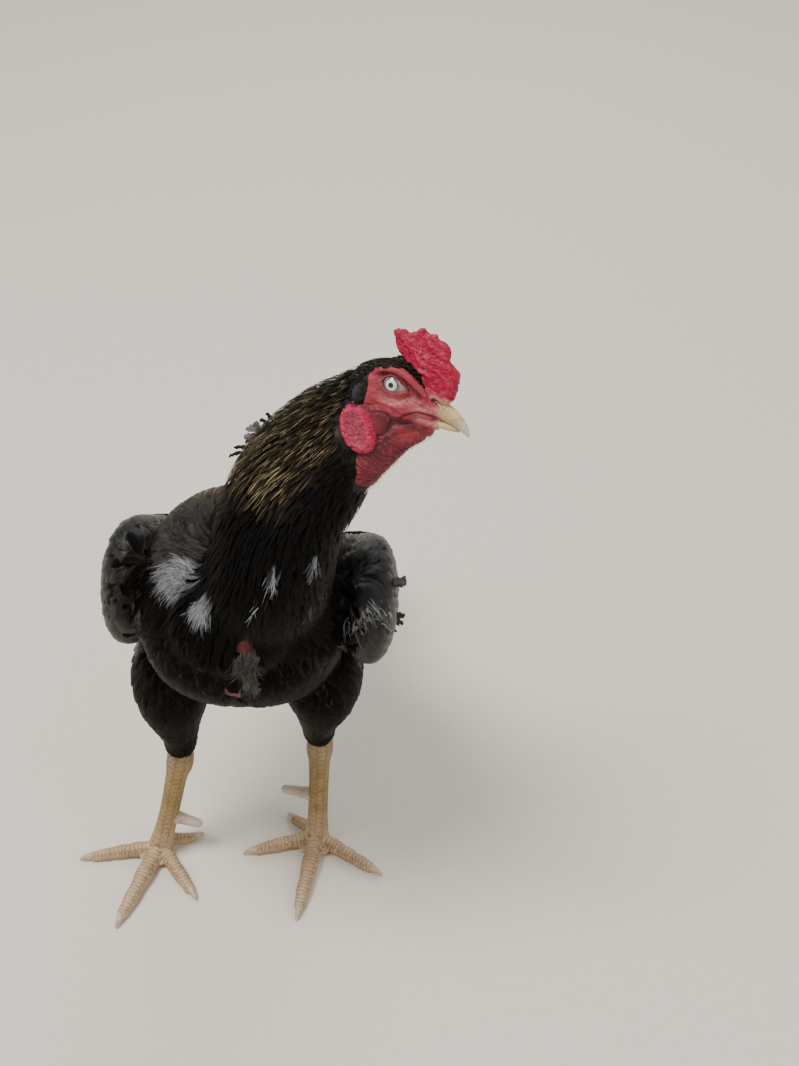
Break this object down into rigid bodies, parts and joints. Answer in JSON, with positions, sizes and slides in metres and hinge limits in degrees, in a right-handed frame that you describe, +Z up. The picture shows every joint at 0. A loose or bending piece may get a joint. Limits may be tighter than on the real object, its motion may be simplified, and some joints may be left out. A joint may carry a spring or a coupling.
{
  "type": "game cock, life-size standing model",
  "caption": "Still life-size model of a standing Asil-type game cock, upright, with long bare shanks and its head turned to its left.",
  "frame": {"origin": "on the floor, under the middle of the model's box", "axes": "+Z up, -Y the way the body faces, +X the bird's own left, the side its head is turned to"},
  "size_m": [0.3098, 0.4348, 0.5529],
  "materials": {
    "plumage": "black feathers with a faint blue and brown sheen",
    "flight_feathers": "black flight and tail feathers with a soft gloss",
    "hackle": "narrow black neck feathers edged with straw gold",
    "ear_feathers": "fine dark grey bristles over the ear",
    "face_skin": "bare red skin, soft and slightly waxy",
    "comb": "crimson comb with a fine wrinkled surface",
    "bill_horn": "ivory horn with darker streaks",
    "claw_horn": "pale worn horn",
    "leg_scales": "olive yellow scales fading to cream on the toes",
    "eye": "pearl white iris and black pupil under a wet clear surface"
  },
  "bodies": {
    "root": {"head": "face_skin", "throat": "face_skin", "earlobe_left": "face_skin", "earlobe_right": "face_skin", "ear_left": "ear_feathers", "ear_right": "ear_feathers", "comb": "comb", "bill_upper": "bill_horn", "bill_lower": "bill_horn", "eye_left": "eye", "eye_right": "eye", "neck": "hackle", "trunk": "plumage", "wing_coverts_left": "plumage", "wing_coverts_right": "plumage", "wing_flights_left": "flight_feathers", "wing_flights_right": "flight_feathers", "tail_main": "flight_feathers", "tail_sickle_left": "flight_feathers", "tail_sickle_right": "flight_feathers", "drumstick_left": "plumage", "drumstick_right": "plumage", "shank_left": "leg_scales", "shank_right": "leg_scales", "spur_left": "claw_horn", "spur_right": "claw_horn", "toe_inner_left": "leg_scales", "toe_middle_left": "leg_scales", "toe_outer_left": "leg_scales", "toe_hind_left": "leg_scales", "toe_inner_right": "leg_scales", "toe_middle_right": "leg_scales", "toe_outer_right": "leg_scales", "toe_hind_right": "leg_scales", "claw_inner_left": "claw_horn", "claw_middle_left": "claw_horn", "claw_outer_left": "claw_horn", "claw_hind_left": "claw_horn", "claw_inner_right": "claw_horn", "claw_middle_right": "claw_horn", "claw_outer_right": "claw_horn", "claw_hind_right": "claw_horn"}
  },
  "joints": []
}
